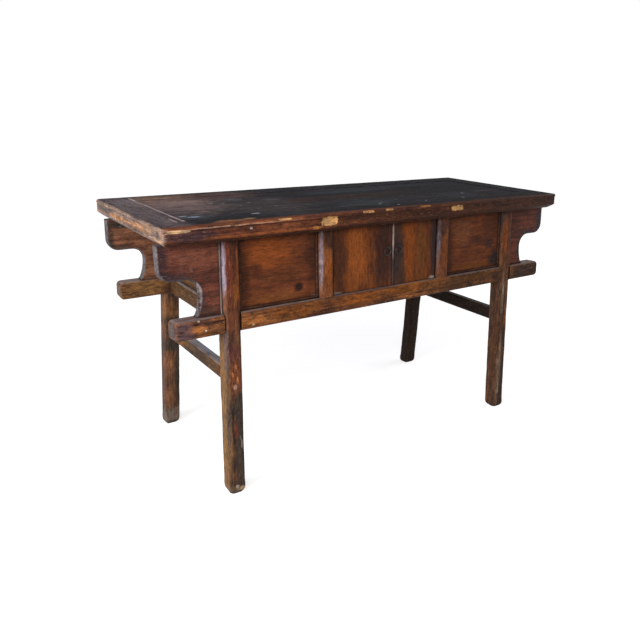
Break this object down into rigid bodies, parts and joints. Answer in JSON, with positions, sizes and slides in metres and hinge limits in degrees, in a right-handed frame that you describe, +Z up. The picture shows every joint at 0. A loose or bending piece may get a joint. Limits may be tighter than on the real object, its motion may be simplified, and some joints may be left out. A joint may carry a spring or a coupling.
{
  "type": "altar table",
  "caption": "Long splayed-leg altar table with a mitred frame-and-panel top, scrolled end spandrels, running rails and a shallow cabinet behind a pair of pivot doors with ring pulls.",
  "frame": {"origin": "on the floor, midway between the four legs", "axes": "+X along the table to its right end, +Y from the doors to the back, +Z up"},
  "size_m": [1.6, 0.6024, 0.857],
  "materials": {
    "top_wood": "old dark lacquer on elm, worn through to brown and bare wood along its edges",
    "frame_wood": "worn red-brown lacquer on elm",
    "panel_wood": "warm red-brown lacquer, darker at its edges",
    "inside_wood": "bare aged elm",
    "iron": "dark hand-forged iron"
  },
  "bodies": {
    "root": {"top_front_member": "top_wood", "top_back_member": "top_wood", "top_left_end_member": "top_wood", "top_right_end_member": "top_wood", "top_board_front": "top_wood", "top_board_middle": "top_wood", "top_board_back": "top_wood", "top_batten_left": "inside_wood", "top_batten_centre": "inside_wood", "top_batten_right": "inside_wood", "leg_front_left": "frame_wood", "leg_front_right": "frame_wood", "leg_back_left": "frame_wood", "leg_back_right": "frame_wood", "bottom_rail_front": "frame_wood", "bottom_rail_back": "frame_wood", "end_rail_left": "frame_wood", "end_rail_right": "frame_wood", "stretcher_left": "frame_wood", "stretcher_right": "frame_wood", "spandrel_front_left": "panel_wood", "spandrel_front_right": "panel_wood", "spandrel_back_left": "panel_wood", "spandrel_back_right": "panel_wood", "spandrel_bead_front_left": "frame_wood", "spandrel_bead_front_right": "frame_wood", "spandrel_bead_back_left": "frame_wood", "spandrel_bead_back_right": "frame_wood", "spandrel_nails": "iron", "stile_front_left": "frame_wood", "stile_front_right": "frame_wood", "stile_back_left": "frame_wood", "stile_back_right": "frame_wood", "panel_front_left": "panel_wood", "panel_front_right": "panel_wood", "panel_bead_left": "frame_wood", "panel_bead_right": "frame_wood", "panel_back_left": "panel_wood", "panel_back_centre": "panel_wood", "panel_back_right": "panel_wood", "panel_end_left": "panel_wood", "panel_end_right": "panel_wood", "floor_board_front": "inside_wood", "floor_board_middle": "inside_wood", "floor_board_back": "inside_wood", "floor_batten_left": "inside_wood", "floor_batten_right": "inside_wood", "door_stop": "inside_wood"},
    "door_left": {"door_left": "panel_wood", "pull_pin_left": "iron"},
    "door_right": {"door_right": "panel_wood", "pull_pin_right": "iron"},
    "ring_left": {"pull_ring_left": "iron"},
    "ring_right": {"pull_ring_right": "iron"}
  },
  "joints": [
    {"name": "door_left_hinge", "type": "hinge", "parent": "root", "child": "door_left", "pos_m": [-0.215, -0.23743, 0.68515], "axis": [0, -0.061, -0.9981], "range_deg": [0, 90]},
    {"name": "door_right_hinge", "type": "hinge", "parent": "root", "child": "door_right", "pos_m": [0.215, -0.23743, 0.68515], "axis": [0, 0.061, 0.9981], "range_deg": [0, 90]},
    {"name": "ring_left_swing", "type": "hinge", "parent": "door_left", "child": "ring_left", "pos_m": [-0.004, -0.25182, 0.71941], "axis": [-1, 0, 0], "range_deg": [-5, 95]},
    {"name": "ring_right_swing", "type": "hinge", "parent": "door_right", "child": "ring_right", "pos_m": [0.044, -0.25182, 0.71941], "axis": [-1, 0, 0], "range_deg": [-5, 95]}
  ]
}
